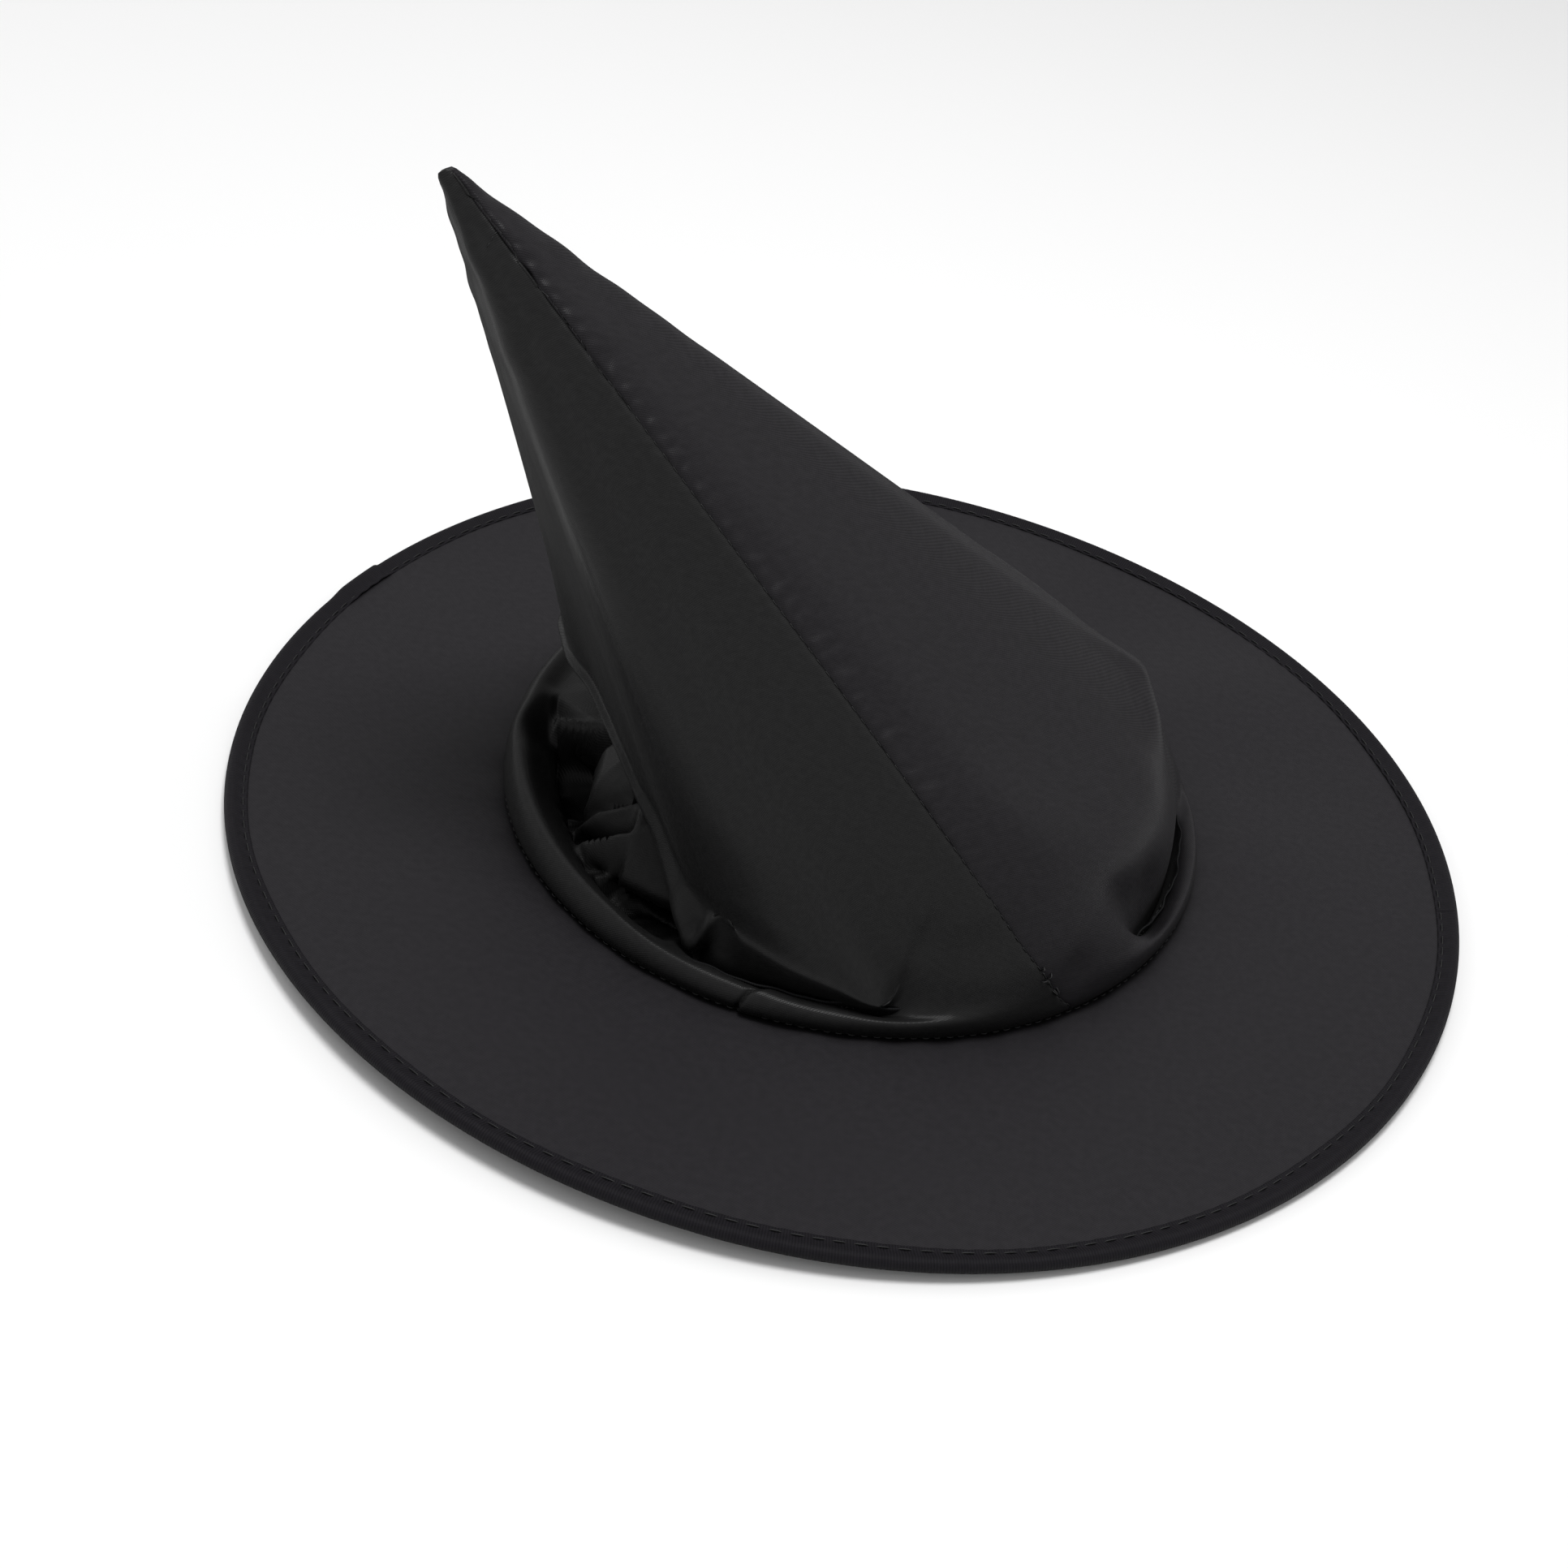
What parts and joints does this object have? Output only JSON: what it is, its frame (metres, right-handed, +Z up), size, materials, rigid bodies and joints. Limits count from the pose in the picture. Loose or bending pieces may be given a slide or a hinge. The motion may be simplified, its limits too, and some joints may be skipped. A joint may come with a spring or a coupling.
{
  "type": "witch hat",
  "caption": "Soft pointed two-panel cloth crown, slumped to one side, on a wide flat round brim with a bound edge held open by a sprung hoop.",
  "frame": {"origin": "centre of the brim on the face that the hat stands on", "axes": "+Z up through the head opening into the crown, the crown leans towards -X, the front seam is on the -Y side"},
  "size_m": [0.38, 0.38, 0.1948],
  "materials": {
    "brim_cloth": "plain satin-back polyester, soft sheen",
    "crown_cloth": "fine twill satin polyester, soft sheen",
    "binding_tape": "ribbed tape, matt",
    "band_tape": "plain woven tape, matt",
    "thread": "spun polyester thread",
    "hoop_steel": "bright drawn spring wire",
    "ferrule_metal": "crimped tube"
  },
  "bodies": {
    "root": {"brim_top_fabric": "brim_cloth", "brim_under_fabric": "brim_cloth", "edge_binding": "binding_tape", "binding_thread": "thread", "spring_hoop": "hoop_steel", "hoop_ferrule": "ferrule_metal", "head_band": "band_tape", "head_band_thread": "thread", "base_seam_thread": "thread", "crown_left_lower": "crown_cloth", "crown_right_lower": "crown_cloth", "crown_left_bend": "crown_cloth", "crown_right_bend": "crown_cloth", "front_seam_lower": "thread", "front_seam_bend": "thread", "back_seam_lower": "thread", "back_seam_bend": "thread"},
    "peak": {"crown_left_peak": "crown_cloth", "crown_right_peak": "crown_cloth", "front_seam_peak": "thread", "back_seam_peak": "thread"}
  },
  "joints": [
    {"name": "peak_flop", "type": "hinge", "parent": "root", "child": "peak", "pos_m": [-0.07, -0.01, 0.1245], "axis": [0, 1, 0], "range_deg": [-60, 60], "deforming": ["crown_left_bend", "crown_right_bend", "front_seam_bend", "back_seam_bend"]}
  ]
}
